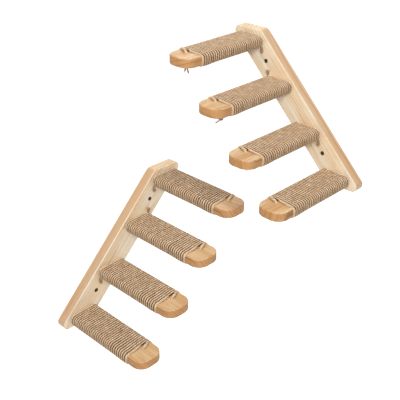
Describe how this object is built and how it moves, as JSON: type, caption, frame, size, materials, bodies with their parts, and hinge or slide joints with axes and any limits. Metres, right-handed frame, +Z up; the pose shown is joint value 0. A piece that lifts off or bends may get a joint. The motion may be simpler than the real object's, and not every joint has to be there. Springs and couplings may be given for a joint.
{
  "type": "wall mounted cat tree",
  "caption": "Pair of mirrored wall-mounted cat ladders for a room corner, each a leaning wooden backboard with level round-nosed steps wound in jute rope.",
  "frame": {"origin": "centre of the right ladder's upper wall hole, on the plane of its wall", "axes": "+Z up; the right ladder hangs on the wall plane Y = 0 with its steps pointing along -Y and its foot towards +X; the left ladder hangs on the wall plane X = -0.152 with its steps pointing along +X and its foot towards -Y"},
  "size_m": [0.4267, 0.5587, 0.6373],
  "materials": {
    "backboard_wood": "clear satin pine",
    "step_wood": "clear satin pine",
    "jute_rope": "twisted natural fibre",
    "zinc_plated_steel": "zinc plated"
  },
  "bodies": {
    "root": {"right_backboard": "backboard_wood", "right_step_1": "step_wood", "right_rope_1": "jute_rope", "right_nose_knot_1": "jute_rope", "right_end_knot_1": "jute_rope", "right_screws_1": "zinc_plated_steel", "right_step_2": "step_wood", "right_rope_2": "jute_rope", "right_nose_knot_2": "jute_rope", "right_end_knot_2": "jute_rope", "right_screws_2": "zinc_plated_steel", "right_step_3": "step_wood", "right_rope_3": "jute_rope", "right_nose_knot_3": "jute_rope", "right_end_knot_3": "jute_rope", "right_screws_3": "zinc_plated_steel", "right_step_4": "step_wood", "right_rope_4": "jute_rope", "right_nose_knot_4": "jute_rope", "right_end_knot_4": "jute_rope", "right_screws_4": "zinc_plated_steel", "left_backboard": "backboard_wood", "left_step_1": "step_wood", "left_rope_1": "jute_rope", "left_nose_knot_1": "jute_rope", "left_end_knot_1": "jute_rope", "left_screws_1": "zinc_plated_steel", "left_step_2": "step_wood", "left_rope_2": "jute_rope", "left_nose_knot_2": "jute_rope", "left_end_knot_2": "jute_rope", "left_screws_2": "zinc_plated_steel", "left_step_3": "step_wood", "left_rope_3": "jute_rope", "left_nose_knot_3": "jute_rope", "left_end_knot_3": "jute_rope", "left_screws_3": "zinc_plated_steel", "left_step_4": "step_wood", "left_rope_4": "jute_rope", "left_nose_knot_4": "jute_rope", "left_end_knot_4": "jute_rope", "left_screws_4": "zinc_plated_steel"}
  },
  "joints": []
}
